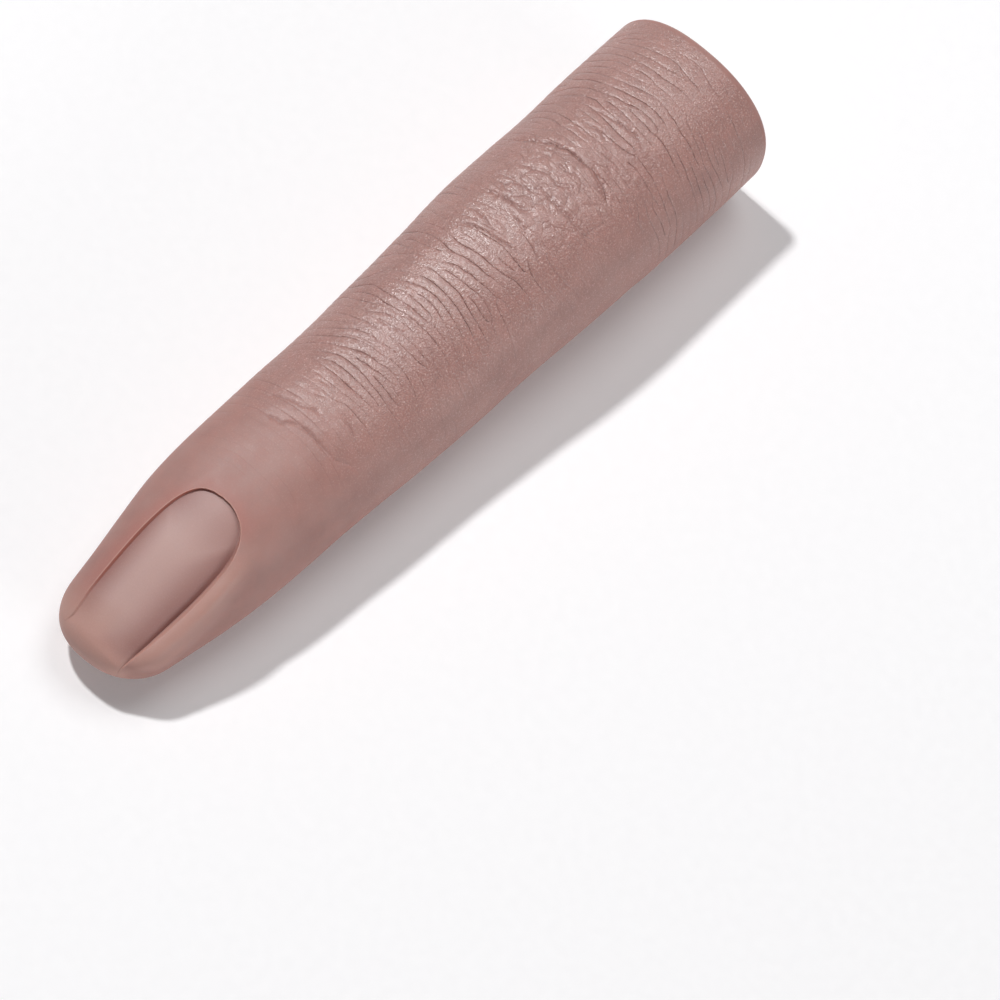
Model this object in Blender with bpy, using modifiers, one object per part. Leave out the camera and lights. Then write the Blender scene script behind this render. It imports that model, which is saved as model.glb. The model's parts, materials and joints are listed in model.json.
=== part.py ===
"""Nail practice finger: a soft, life-like skin over a jointed nylon core.

The finger lies along X with its fingertip towards -X and its nail side up. Its pads rest on z = 0.
The skin has three lengths that follow the bones, and two soft knuckle bands between them that
stretch and fold as the finger bends. Inside, three nylon bones turn on two riveted hinges, and a
plug with one screw closes the cut end. All sizes are in metres.
"""
import math

import bmesh
import bpy

# Lengths along the finger, from the fingertip to the cut end
fingertip_length = 0.0318
middle_length = 0.0347
base_length = 0.0235

# Widths and heights of the skin at the end joint and at the middle joint
end_joint_width = 0.0179
end_joint_height = 0.0150
middle_joint_width = 0.0200
middle_joint_height = 0.0184

# Roundings of the fingertip and of the cut end's rim
nose_length = 0.0045
rim_radius = 0.0012
nose_power = 2.3
section_power = 2.25

# Joints: the height of both hinge axes, and how far each joint bends
axis_height = 0.0085
end_joint_bend = math.radians(50)
middle_joint_bend = math.radians(65)

# Nylon bones
core_width = 0.0084
end_joint_radius = 0.0030
middle_joint_radius = 0.0034
bone_tip_radius = 0.0016
bone_tip_height = 0.0046
bone_tip_setback = 0.0095
tongue_thickness = 0.0026

# Hinge hardware
pin_radius = 0.0010
head_radius = 0.0018
head_thickness = 0.0008
washer_radius = 0.0024
washer_thickness = 0.0005

# Nail bed: a recess for a false nail, with a slot under the fold behind it
nail_setback = 0.0007
nail_length = 0.0178
nail_width = 0.0092
nail_depth = 0.0013
fold_lip = 0.0006
slot_reach = 0.0016
slot_rise = 0.00015

# Plug and screw at the cut end
base_wall = 0.0032
plug_thickness = 0.0030
screw_radius = 0.0012
screw_length = 0.0090
screw_head_radius = 0.0022
screw_head_height = 0.0013
recess_width = 0.0006
recess_reach = 0.0013
recess_depth = 0.0007

# Clearances and the length by which a cutter runs past what it cuts
gap = 0.0003
pin_clearance = 0.00008
overrun = 0.0010

# How finely round shapes are drawn
ring_points = 40
ring_spacing = 0.0016
arc_steps = 14
pin_sides = 24
nose_steps = 8
rim_steps = 5
sharp_angle = math.radians(35)

# Skin outline: (along, width, top, underside) as shares of each length and of the joint's size
fingertip_shares = (
    (0.00, 0.60, 0.47, 0.10),
    (0.06, 0.675, 0.545, 0.035),
    (0.15, 0.735, 0.62, -0.005),
    (0.33, 0.83, 0.755, -0.02),
    (0.52, 0.93, 0.87, -0.02),
    (0.70, 0.975, 0.935, -0.01),
    (0.88, 0.98, 0.965, 0.02),
)
# Middle length: width and top go from the end joint's size (0) to the middle joint's size (1)
middle_shares = (
    (0.00, 0.00, 0.00, 0.02),
    (0.16, 0.05, 0.06, 0.00),
    (0.42, 0.35, 0.30, -0.015),
    (0.66, 0.70, 0.62, -0.01),
    (0.86, 0.95, 0.92, 0.01),
)
base_shares = (
    (0.00, 1.00, 1.00, 0.02),
    (0.28, 1.01, 0.985, 0.00),
    (0.60, 1.025, 0.99, -0.02),
    (1.00, 1.02, 0.99, -0.02),
)
# Half the nail bed's outline: (along, half width) as shares of the nail's length and half width
nail_shares = (
    (0.00, 0.72),
    (0.17, 0.87),
    (0.37, 0.96),
    (0.55, 1.00),
    (0.75, 0.95),
    (0.87, 0.80),
    (0.94, 0.59),
    (0.985, 0.30),
    (1.00, 0.00),
)

# Places worked out from the sizes above
total_length = fingertip_length + middle_length + base_length
tip_x = -total_length / 2
end_joint_x = tip_x + fingertip_length
middle_joint_x = end_joint_x + middle_length
cut_end_x = middle_joint_x + base_length
end_band_half = axis_height * math.tan(end_joint_bend / 2) + gap
middle_band_half = axis_height * math.tan(middle_joint_bend / 2) + gap
slot_width = tongue_thickness + 2 * (washer_thickness + 2 * gap)
hole_radius = pin_radius + pin_clearance
bone_end_x = cut_end_x - plug_thickness - gap
plug_height = axis_height


def skin_stations():
    """List the skin's (x, width, top, underside) stations from fingertip to cut end."""
    rows = []
    for along, width, top, underside in fingertip_shares:
        rows.append((
            tip_x + along * fingertip_length,
            width * end_joint_width,
            top * end_joint_height,
            underside * end_joint_height,
        ))
    for along, width, top, underside in middle_shares:
        rows.append((
            end_joint_x + along * middle_length,
            end_joint_width + width * (middle_joint_width - end_joint_width),
            end_joint_height + top * (middle_joint_height - end_joint_height),
            underside * middle_joint_height,
        ))
    for along, width, top, underside in base_shares:
        rows.append((
            middle_joint_x + along * base_length,
            width * middle_joint_width,
            top * middle_joint_height,
            underside * middle_joint_height,
        ))
    return rows


stations = skin_stations()


def slope(index, column):
    """Give the outline's slope at a station, from its neighbours on both sides."""
    before = stations[max(index - 1, 0)]
    after = stations[min(index + 1, len(stations) - 1)]
    return (after[column] - before[column]) / (after[0] - before[0])


def outline_at(x, column):
    """Read the skin's width, top or underside at x from a smooth curve through the stations."""
    x = min(max(x, stations[0][0]), stations[-1][0])
    index = 0
    while index < len(stations) - 2 and stations[index + 1][0] < x:
        index += 1
    left = stations[index]
    right = stations[index + 1]
    span = right[0] - left[0]
    s = (x - left[0]) / span
    return (
        (2 * s ** 3 - 3 * s ** 2 + 1) * left[column]
        + (s ** 3 - 2 * s ** 2 + s) * span * slope(index, column)
        + (3 * s ** 2 - 2 * s ** 3) * right[column]
        + (s ** 3 - s ** 2) * span * slope(index + 1, column)
    )


def signed_power(value, power):
    """Raise a value to a power and keep its sign."""
    return math.copysign(abs(value) ** power, value)


def skin_ring(x, inset, rounded):
    """Give the points of the skin's section at x, drawn in by an inset."""
    half_width = outline_at(x, 1) / 2
    top = outline_at(x, 2)
    underside = outline_at(x, 3)
    middle = (top + underside) / 2
    half_height = top - middle
    nose = 1.0
    rim = 0.0
    if rounded:
        into_nose = min(max(1 - (x - tip_x) / nose_length, 0), 1)
        nose = (1 - into_nose ** nose_power) ** (1 / nose_power)
        into_rim = min(max(rim_radius - (cut_end_x - x), 0), rim_radius)
        rim = rim_radius - math.sqrt(rim_radius ** 2 - into_rim ** 2)
    draw_in = inset + rim
    half_width = half_width * nose - draw_in
    half_height = half_height * nose - draw_in
    points = []
    for step in range(ring_points):
        angle = 2 * math.pi * step / ring_points
        y = half_width * signed_power(math.cos(angle), 2 / section_power)
        z = middle + half_height * signed_power(math.sin(angle), 2 / section_power)
        points.append((x, y, max(z, inset)))
    return points


def between(start, end, spacing):
    """List evenly spaced places from start to end, both included."""
    count = max(round((end - start) / spacing), 1)
    return [start + (end - start) * step / count for step in range(count + 1)]


def new_collection(name):
    """Make a collection in the scene."""
    collection = bpy.data.collections.new(name)
    bpy.context.scene.collection.children.link(collection)
    return collection


def into_collection(thing, collection):
    """Move an object from any collection into the given one."""
    for owner in list(thing.users_collection):
        owner.objects.unlink(thing)
    collection.objects.link(thing)
    if collection is cutters:
        thing.hide_render = True
        thing.display_type = "WIRE"
    return thing


def loft(name, places, inset, collection, rounded=True):
    """Join the skin's sections at the given places into one closed body."""
    mesh = bpy.data.meshes.new(name)
    work = bmesh.new()
    rings = []
    for x in places:
        rings.append([work.verts.new(point) for point in skin_ring(x, inset, rounded)])
    for near, far in zip(rings, rings[1:]):
        for step in range(ring_points):
            after = (step + 1) % ring_points
            work.faces.new((near[step], near[after], far[after], far[step]))
    work.faces.new(rings[0])
    work.faces.new(rings[-1])
    bmesh.ops.recalc_face_normals(work, faces=work.faces[:])
    work.to_mesh(mesh)
    work.free()
    return into_collection(link_new(name, mesh), collection)


def link_new(name, mesh):
    """Make an object for a mesh and link it to the scene."""
    thing = bpy.data.objects.new(name, mesh)
    bpy.context.scene.collection.objects.link(thing)
    return thing


def plate(name, outline, width, collection):
    """Extrude a closed outline in the XZ plane to a width along Y, centred on the finger."""
    curve = bpy.data.curves.new(name, "CURVE")
    curve.dimensions = "2D"
    curve.fill_mode = "BOTH"
    curve.extrude = width / 2
    spline = curve.splines.new("POLY")
    spline.points.add(len(outline) - 1)
    for point, (x, z) in zip(spline.points, outline):
        point.co = (x, z, 0, 1)
    spline.use_cyclic_u = True
    guide = link_new(name + "_outline", curve)
    guide.rotation_euler = (math.pi / 2, 0, 0)
    bpy.context.view_layer.update()
    evaluated = guide.evaluated_get(bpy.context.evaluated_depsgraph_get())
    mesh = bpy.data.meshes.new_from_object(evaluated)
    work = bmesh.new()
    work.from_mesh(mesh)
    bmesh.ops.remove_doubles(work, verts=work.verts[:], dist=pin_clearance / 4)
    bmesh.ops.recalc_face_normals(work, faces=work.faces[:])
    work.to_mesh(mesh)
    work.free()
    thing = link_new(name, mesh)
    thing.matrix_world = guide.matrix_world
    bpy.data.objects.remove(guide)
    return into_collection(thing, collection)


def upright_plate(name, outline, bottom, top, collection):
    """Extrude a closed outline in the XY plane from a bottom to a top height."""
    thing = plate(name, outline, top - bottom, collection)
    thing.rotation_euler = (0, 0, 0)
    thing.location = (0, 0, (top + bottom) / 2)
    return thing


def box(name, low, high, collection):
    """Add a box between two corners."""
    bpy.ops.mesh.primitive_cube_add(size=1)
    thing = bpy.context.object
    thing.name = name
    thing.location = [(a + b) / 2 for a, b in zip(low, high)]
    thing.scale = [b - a for a, b in zip(low, high)]
    bpy.ops.object.transform_apply(location=False, rotation=False, scale=True)
    return into_collection(thing, collection)


def cross_cylinder(name, x, radius, low_y, high_y, collection):
    """Add a cylinder along Y at the height of the hinge axes."""
    bpy.ops.mesh.primitive_cylinder_add(
        vertices=pin_sides,
        radius=radius,
        depth=high_y - low_y,
        location=(x, (low_y + high_y) / 2, axis_height),
        rotation=(math.pi / 2, 0, 0),
    )
    thing = bpy.context.object
    thing.name = name
    return into_collection(thing, collection)


def long_cylinder(name, radius, low_x, high_x, collection):
    """Add a cylinder along X on the plug's axis."""
    bpy.ops.mesh.primitive_cylinder_add(
        vertices=pin_sides,
        radius=radius,
        depth=high_x - low_x,
        location=((low_x + high_x) / 2, 0, plug_height),
        rotation=(0, math.pi / 2, 0),
    )
    thing = bpy.context.object
    thing.name = name
    return into_collection(thing, collection)


def boolean(target, other, operation="DIFFERENCE"):
    """Combine an object with a cutter or a guide."""
    modifier = target.modifiers.new(other.name, "BOOLEAN")
    modifier.operation = operation
    modifier.object = other
    modifier.solver = "EXACT"


def arc(x, z, radius, start, end):
    """List points on an arc in the XZ plane, from one angle to another."""
    points = []
    for step in range(arc_steps + 1):
        angle = start + (end - start) * step / arc_steps
        points.append((x + radius * math.cos(angle), z + radius * math.sin(angle)))
    return points


def bone_outline(near, far, near_radius, far_radius):
    """Outline a bone whose two round ends are joined by straight edges that touch both."""
    run = far[0] - near[0]
    rise = far[1] - near[1]
    along = math.atan2(rise, run)
    lean = math.acos((near_radius - far_radius) / math.hypot(run, rise))
    near_end = arc(near[0], near[1], near_radius, along + lean, along + 2 * math.pi - lean)
    far_end = arc(far[0], far[1], far_radius, along - lean, along + lean)
    return near_end + far_end


def skin_color(hex_text):
    """Turn a six-figure colour into linear red, green, blue and alpha."""
    values = []
    for start in (0, 2, 4):
        share = int(hex_text[start:start + 2], 16) / 255
        values.append(share / 12.92 if share <= 0.04045 else ((share + 0.055) / 1.055) ** 2.4)
    return (*values, 1.0)


def finish(thing, hex_text, roughness, metallic):
    """Give an object its own Principled material and smooth its round faces."""
    material = bpy.data.materials.new(thing.name)
    material.use_nodes = True
    shader = material.node_tree.nodes["Principled BSDF"]
    shader.inputs["Base Color"].default_value = skin_color(hex_text)
    shader.inputs["Roughness"].default_value = roughness
    shader.inputs["Metallic"].default_value = metallic
    thing.data.materials.clear()
    thing.data.materials.append(material)
    thing.data.shade_smooth()
    thing.data.set_sharp_from_angle(angle=sharp_angle)


def silicone(thing):
    """Finish a piece of the soft skin."""
    finish(thing, "AE8479", 0.55, 0.0)


def nylon(thing):
    """Finish a moulded nylon piece."""
    finish(thing, "D9D4C7", 0.5, 0.0)


def steel(thing):
    """Finish a turned steel piece."""
    finish(thing, "B8BABD", 0.3, 1.0)


def ride(thing, axis):
    """Parent an object to a joint's empty without moving it."""
    bpy.context.view_layer.update()
    thing.parent = axis
    thing.matrix_parent_inverse = axis.matrix_world.inverted()


def joint_axis(name, x, parent=None):
    """Add an empty on a hinge axis."""
    empty = link_new(name, None)
    empty.location = (x, 0, axis_height)
    into_collection(empty, finger)
    if parent:
        ride(empty, parent)
    bpy.context.view_layer.update()
    return empty


def nail_outline(grow, start):
    """Outline the nail bed from above, grown by a margin, from a start place near the tip."""
    half = [(start, nail_shares[0][1] * nail_width / 2 + grow)]
    for along, width in nail_shares[1:]:
        x = tip_x + nail_setback + along * nail_length
        half.append((x + grow * along, width * (nail_width / 2 + grow)))
    mirrored = [(x, -y) for x, y in reversed(half) if y > 0]
    return half + mirrored


def nail_cutter(name, grow, start, depth, lip):
    """Shape the space over the nail bed: above the bed and below the skin's lip, if it has one."""
    outline = nail_outline(grow, start)
    block = upright_plate(name, outline, bone_tip_height, middle_joint_height, cutters)
    bed_places = between(tip_x + nail_setback / 2, end_joint_x, ring_spacing / 2)
    bed = loft(name + "_bed", bed_places, 0, cutters)
    bed.location.z = -depth
    boolean(block, bed)
    if lip > 0:
        lid = loft(name + "_lid", bed_places, 0, cutters)
        lid.location.z = -lip
        boolean(block, lid, "INTERSECT")
    return block


def bone_channel(name, outline, start_x, end_x):
    """Shape the space that a bone fills inside the skin, between two places."""
    channel = plate(name, outline, core_width + 2 * gap, cutters)
    high = middle_joint_height + overrun
    half = middle_joint_width
    keep = box(name + "_part", (start_x, -half, -overrun), (end_x, half, high), cutters)
    boolean(channel, keep, "INTERSECT")
    return channel


def fingertip_outline(extra):
    """Outline the fingertip bone, grown by a margin."""
    far = (tip_x + bone_tip_setback, bone_tip_height)
    near = (end_joint_x, axis_height)
    return bone_outline(near, far, end_joint_radius + extra, bone_tip_radius + extra)


def middle_outline(extra):
    """Outline the middle bone, grown by a margin."""
    near = (end_joint_x, axis_height)
    far = (middle_joint_x, axis_height)
    return bone_outline(near, far, end_joint_radius + extra, middle_joint_radius + extra)


def base_outline(extra, end_x):
    """Outline the base bone, grown by a margin, with its square end at a place."""
    radius = middle_joint_radius + extra
    round_end = arc(middle_joint_x, axis_height, radius, math.pi / 2, 3 * math.pi / 2)
    return round_end + [(end_x, axis_height - radius), (end_x, axis_height + radius)]


def fingertip_skin():
    """Cast the fingertip, with its nail bed, the slot round it and the channel for the bone."""
    end_x = end_joint_x - end_band_half
    nose_angles = [math.pi / 2 * step / nose_steps for step in range(nose_steps)]
    nose = [tip_x + nose_length * (1 - math.cos(angle)) + pin_clearance for angle in nose_angles]
    places = nose + between(tip_x + nose_length, end_x, ring_spacing)
    skin = loft("fingertip_skin", places, 0, finger)
    skin_front = tip_x + nail_setback
    boolean(skin, nail_cutter("nail_bed", 0, skin_front, nail_depth, 0))
    slot_front = skin_front + nose_length
    slot_depth = nail_depth - slot_rise
    boolean(skin, nail_cutter("nail_slot", slot_reach, slot_front, slot_depth, fold_lip))
    boolean(skin, bone_channel("fingertip_channel", fingertip_outline(gap), tip_x, end_x + overrun))
    silicone(skin)
    return skin


def middle_skin():
    """Cast the length between the two knuckle bands."""
    start_x = end_joint_x + end_band_half
    end_x = middle_joint_x - middle_band_half
    skin = loft("middle_skin", between(start_x, end_x, ring_spacing), 0, finger)
    outline = middle_outline(gap)
    boolean(skin, bone_channel("middle_channel", outline, start_x - overrun, end_x + overrun))
    silicone(skin)
    return skin


def base_skin():
    """Cast the length from the middle knuckle band to the cut end, with the plug's pocket."""
    start_x = middle_joint_x + middle_band_half
    rim_angles = [math.pi / 2 * step / rim_steps for step in range(1, rim_steps + 1)]
    rim = [cut_end_x - rim_radius * (1 - math.sin(angle)) for angle in rim_angles]
    places = between(start_x, cut_end_x - rim_radius, ring_spacing) + rim
    skin = loft("base_skin", places, 0, finger)
    pocket_floor = cut_end_x - plug_thickness - gap
    outline = base_outline(gap, pocket_floor + overrun)
    boolean(skin, bone_channel("base_channel", outline, start_x - overrun, pocket_floor + overrun))
    pocket_places = [pocket_floor, cut_end_x + overrun]
    boolean(skin, loft("plug_pocket", pocket_places, base_wall - gap, cutters, rounded=False))
    silicone(skin)
    return skin


def knuckle_band(name, joint_x, band_half, bone_outlines):
    """Cast the soft band over a joint, hollow round both bones and the pin's head and cap."""
    start_x = joint_x - band_half + gap
    end_x = joint_x + band_half - gap
    band = loft(name, between(start_x, end_x, ring_spacing), 0, finger)
    bore_width = core_width + 2 * (gap + head_thickness + gap)
    for number, outline in enumerate(bone_outlines, start=1):
        boolean(band, plate(name + "_bore_" + str(number), outline, bore_width, cutters))
    silicone(band)
    return band


def cut_tongue(bone, joint_x, joint_radius, towards):
    """Thin a bone's end to a tongue, from its shoulder past its round end."""
    shoulder = joint_radius + gap
    span = sorted((joint_x - towards * shoulder, joint_x + towards * (joint_radius + overrun)))
    high = axis_height + joint_radius + overrun
    low = axis_height - joint_radius - overrun
    inner = tongue_thickness / 2
    outer = core_width / 2 + overrun
    left = box(bone.name + "_left", (span[0], inner, low), (span[1], outer, high), cutters)
    right = box(bone.name + "_right", (span[0], -outer, low), (span[1], -inner, high), cutters)
    boolean(bone, left)
    boolean(bone, right)


def cut_fork(bone, joint_x, joint_radius, towards):
    """Cut a slot in a bone's end, for the next bone's tongue and two washers."""
    floor = joint_radius + gap
    span = sorted((joint_x - towards * floor, joint_x + towards * (joint_radius + overrun)))
    high = axis_height + joint_radius + overrun
    low = axis_height - joint_radius - overrun
    half = slot_width / 2
    boolean(bone, box(bone.name + "_slot", (span[0], -half, low), (span[1], half, high), cutters))


def drill(bone, joint_x):
    """Drill a bone's end for the hinge pin."""
    reach = core_width / 2 + overrun
    name = bone.name + "_hole"
    boolean(bone, cross_cylinder(name, joint_x, hole_radius, -reach, reach, cutters))


def fingertip_bone():
    """Mould the fingertip bone, whose tongue turns in the middle bone's fork."""
    bone = plate("fingertip_bone", fingertip_outline(0), core_width, finger)
    cut_tongue(bone, end_joint_x, end_joint_radius, 1)
    drill(bone, end_joint_x)
    nylon(bone)
    return bone


def middle_bone():
    """Mould the middle bone, with a fork at one end and a tongue at the other."""
    bone = plate("middle_bone", middle_outline(0), core_width, finger)
    cut_fork(bone, end_joint_x, end_joint_radius, -1)
    cut_tongue(bone, middle_joint_x, middle_joint_radius, 1)
    drill(bone, end_joint_x)
    pin_hole = core_width / 2 + overrun
    far_hole = cross_cylinder(
        "middle_bone_far_hole", middle_joint_x, hole_radius, -pin_hole, pin_hole, cutters)
    boolean(bone, far_hole)
    nylon(bone)
    return bone


def base_bone():
    """Mould the base bone, with a fork and the screw's pilot hole."""
    bone = plate("base_bone", base_outline(0, bone_end_x), core_width, finger)
    cut_fork(bone, middle_joint_x, middle_joint_radius, -1)
    drill(bone, middle_joint_x)
    pilot_start = cut_end_x - gap - screw_length - gap
    pilot_radius = screw_radius + pin_clearance
    boolean(bone, long_cylinder(
        "pilot_hole", pilot_radius, pilot_start, bone_end_x + overrun, cutters))
    nylon(bone)
    return bone


def washer(name, joint_x, side):
    """Add a friction washer between a tongue and a fork cheek."""
    inner = tongue_thickness / 2 + gap
    span = sorted((side * inner, side * (inner + washer_thickness)))
    disc = cross_cylinder(name, joint_x, washer_radius, span[0], span[1], finger)
    reach = core_width / 2
    boolean(disc, cross_cylinder(name + "_hole", joint_x, hole_radius, -reach, reach, cutters))
    steel(disc)
    return disc


def hinge_pin(name, joint_x):
    """Turn a rivet: its head, then its shank, which passes the fork and the cap."""
    under_head = core_width / 2 + gap
    shank_end = under_head + head_thickness
    profile = (
        (0, under_head + head_thickness),
        (head_radius - head_thickness / 4, under_head + head_thickness),
        (head_radius, under_head + head_thickness * 3 / 4),
        (head_radius, under_head),
        (pin_radius, under_head),
        (pin_radius, -shank_end),
        (0, -shank_end),
    )
    pin = turned(name, profile)
    pin.rotation_euler = (math.pi / 2, 0, 0)
    pin.location = (joint_x, 0, axis_height)
    steel(pin)
    return pin


def turned(name, profile):
    """Spin a profile of (radius, height) points round the Z axis."""
    mesh = bpy.data.meshes.new(name)
    points = [(radius, 0, height) for radius, height in profile]
    edges = [(step, step + 1) for step in range(len(points) - 1)]
    mesh.from_pydata(points, edges, [])
    thing = into_collection(link_new(name, mesh), finger)
    spin = thing.modifiers.new("turned", "SCREW")
    spin.axis = "Z"
    spin.angle = 2 * math.pi
    spin.steps = pin_sides
    spin.render_steps = pin_sides
    spin.use_merge_vertices = True
    spin.merge_threshold = pin_clearance / 4
    spin.use_smooth_shade = True
    return thing


def pin_cap(name, joint_x):
    """Add the ring that is pressed on the pin's plain end."""
    inner = core_width / 2 + gap
    ring = cross_cylinder(name, joint_x, head_radius, inner, inner + head_thickness, finger)
    reach = inner + head_thickness + overrun
    boolean(ring, cross_cylinder(name + "_hole", joint_x, hole_radius, 0, reach, cutters))
    steel(ring)
    return ring


def base_plug():
    """Mould the plug that closes the cut end, with the screw's counterbore."""
    places = [cut_end_x - plug_thickness, cut_end_x]
    plug = loft("base_plug", places, base_wall, finger, rounded=False)
    hole_start = cut_end_x - plug_thickness - overrun
    hole = long_cylinder(
        "plug_hole", screw_radius + pin_clearance, hole_start, cut_end_x + overrun, cutters)
    head_floor = cut_end_x - gap - screw_head_height - gap
    counterbore = long_cylinder(
        "counterbore", screw_head_radius + gap, head_floor, cut_end_x + overrun, cutters)
    boolean(plug, hole)
    boolean(plug, counterbore)
    nylon(plug)
    return plug


def base_screw():
    """Turn the screw that holds the plug to the base bone, with a cross recess in its head."""
    neck = -screw_head_height
    point = -screw_length + screw_radius
    profile = (
        (0, 0),
        (screw_head_radius, 0),
        (screw_head_radius, neck),
        (screw_radius, neck),
        (screw_radius, point),
        (screw_radius / 3, -screw_length),
        (0, -screw_length),
    )
    screw = turned("base_screw", profile)
    screw.rotation_euler = (0, math.pi / 2, 0)
    head_x = cut_end_x - gap
    screw.location = (head_x, 0, plug_height)
    arms = ((recess_reach, recess_width / 2), (recess_width / 2, recess_reach))
    for number, (half_y, half_z) in enumerate(arms, start=1):
        low = (head_x - recess_depth, -half_y, plug_height - half_z)
        high = (head_x + overrun, half_y, plug_height + half_z)
        boolean(screw, box("recess_" + str(number), low, high, cutters))
    steel(screw)
    return screw


for old in list(bpy.data.objects):
    bpy.data.objects.remove(old)

finger = new_collection("nail_practice_finger")
cutters = new_collection("cutters")

middle_axis = joint_axis("middle_joint_axis", middle_joint_x)
end_axis = joint_axis("end_joint_axis", end_joint_x, middle_axis)

base_skin()
base_bone()
base_plug()
base_screw()
knuckle_band(
    "middle_knuckle_band",
    middle_joint_x,
    middle_band_half,
    (middle_outline(gap), base_outline(gap, cut_end_x)),
)
hinge_pin("middle_joint_pin", middle_joint_x)
pin_cap("middle_joint_cap", middle_joint_x)
washer("middle_joint_washer_left", middle_joint_x, 1)
washer("middle_joint_washer_right", middle_joint_x, -1)

for piece in (
    middle_skin(),
    middle_bone(),
    knuckle_band(
        "end_knuckle_band",
        end_joint_x,
        end_band_half,
        (fingertip_outline(gap), middle_outline(gap)),
    ),
    hinge_pin("end_joint_pin", end_joint_x),
    pin_cap("end_joint_cap", end_joint_x),
    washer("end_joint_washer_left", end_joint_x, 1),
    washer("end_joint_washer_right", end_joint_x, -1),
):
    ride(piece, middle_axis)

for piece in (fingertip_skin(), fingertip_bone()):
    ride(piece, end_axis)
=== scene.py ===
# %% [markdown]
# # A soft practice finger with an empty nail bed
# The real object is one finger cast in skin-toned silicone round two short hinges. Nail
# artists push a false nail into the open bed and bend the finger to a handy angle. The
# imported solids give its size, its bones and its hinges. This script dresses them: it makes
# the soft skin with its nail bed, folds and creases, and gives each part its finish.

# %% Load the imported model
import json
import math

import bmesh
import bpy
import numpy as np
from mathutils import Matrix, Vector


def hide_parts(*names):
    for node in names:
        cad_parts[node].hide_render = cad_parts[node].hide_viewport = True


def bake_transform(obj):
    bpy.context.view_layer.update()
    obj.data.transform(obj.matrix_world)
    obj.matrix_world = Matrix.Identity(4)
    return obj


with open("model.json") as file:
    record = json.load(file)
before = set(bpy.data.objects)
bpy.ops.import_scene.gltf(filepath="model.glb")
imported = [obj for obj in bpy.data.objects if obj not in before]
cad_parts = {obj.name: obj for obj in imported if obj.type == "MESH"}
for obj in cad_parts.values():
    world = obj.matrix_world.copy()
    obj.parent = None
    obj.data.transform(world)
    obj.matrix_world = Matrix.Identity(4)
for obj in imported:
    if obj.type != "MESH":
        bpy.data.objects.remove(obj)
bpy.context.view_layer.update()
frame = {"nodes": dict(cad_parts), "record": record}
nodes = frame["nodes"]
mm = 0.001

# %% [markdown]
# ## Small helpers
# A colour is written as the sRGB code that a paint chart shows, but shaders count light, so
# one function turns it linear. Another adds a node with its settings and its links in one
# line, which keeps a material short enough to read.

# %% Helpers for colours, nodes and selection
def linear(code):
    parts = [int(code[i:i + 2], 16) / 255 for i in (0, 2, 4)]
    return tuple(p / 12.92 if p <= 0.04045 else ((p + 0.055) / 1.055) ** 2.4 for p in parts) + (1.0,)


def new_finish(name):
    finish = bpy.data.materials.new(name)
    finish.use_nodes = True
    tree = finish.node_tree
    tree.nodes.clear()
    return finish, tree


def add(tree, kind, values=None, links=None, **settings):
    node = tree.nodes.new(kind)
    for key, value in settings.items():
        setattr(node, key, value)
    for key, value in (values or {}).items():
        node.inputs[key].default_value = value
    for key, source in (links or {}).items():
        tree.links.new(source, node.inputs[key])
    return node


def ramp(tree, source, stops):
    node = add(tree, "ShaderNodeValToRGB", links={"Fac": source})
    while len(node.color_ramp.elements) < len(stops):
        node.color_ramp.elements.new(0.5)
    for element, (place, value) in zip(node.color_ramp.elements, stops):
        element.position = place
        element.color = linear(value) if isinstance(value, str) else (value, value, value, 1.0)
    return node.outputs["Color"]


def mix_colours(tree, share, first, second):
    node = add(tree, "ShaderNodeMix", data_type="RGBA")
    for socket, value in ((node.inputs[0], share), (node.inputs[6], first), (node.inputs[7], second)):
        if isinstance(value, bpy.types.NodeSocket):
            tree.links.new(value, socket)
        else:
            socket.default_value = linear(value) if isinstance(value, str) else value
    return node.outputs[2]


def times(source, factor):
    return add(source.id_data, "ShaderNodeMath", {1: factor}, {0: source}, operation="MULTIPLY").outputs[0]


def between(first, second, operation):
    return add(first.id_data, "ShaderNodeMath", links={0: first, 1: second}, operation=operation).outputs[0]


def select_only(piece):
    bpy.ops.object.select_all(action="DESELECT")
    bpy.context.view_layer.objects.active = piece
    piece.select_set(True)


print("skin tone in linear light:", [round(v, 3) for v in linear("a0776f")[:3]])

# %% [markdown]
# ## The camera
# The product picture looks down on the finger from the side of its tip, with the picture
# turned so that the finger runs from the lower left to the upper right. A camera could be
# aimed by hand, but here its three directions come from two angles and a roll, which put
# the fingertip, both knuckles and the cut end where the picture has them.

# %% Place the camera
tip_side_lean = math.radians(25.0)
right_side_lean = math.radians(15.0)
camera_roll = math.radians(14.96)
camera_distance = 0.55
lens_pixels = 9971.5 * camera_distance
picture_pixels = 1000.0
target = Vector((0.0, 0.0, 0.008))
slide_right, slide_up = 0.009898, -0.013938

back = Vector((-math.sin(tip_side_lean),
               -math.cos(tip_side_lean) * math.sin(right_side_lean),
               math.cos(tip_side_lean) * math.cos(right_side_lean)))
azimuth = math.atan2(back.x, -back.y)
level_right = Vector((math.cos(azimuth), math.sin(azimuth), 0.0))
level_up = back.cross(level_right)
right = level_right * math.cos(camera_roll) + level_up * math.sin(camera_roll)
up = level_up * math.cos(camera_roll) - level_right * math.sin(camera_roll)

camera_data = bpy.data.cameras.new("camera")
camera_data.sensor_width = 36.0
camera_data.lens = lens_pixels / picture_pixels * camera_data.sensor_width
camera_data.clip_start = 0.01
camera = bpy.data.objects.new("camera", camera_data)
bpy.context.scene.collection.objects.link(camera)
place = target + back * camera_distance + right * slide_right + up * slide_up
turned = Matrix((right, up, back)).transposed().to_4x4()
camera.matrix_world = Matrix.Translation(place) @ turned
bpy.context.scene.camera = camera
print("camera at", [round(v, 4) for v in place], "lens", round(camera_data.lens, 1), "mm")

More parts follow.
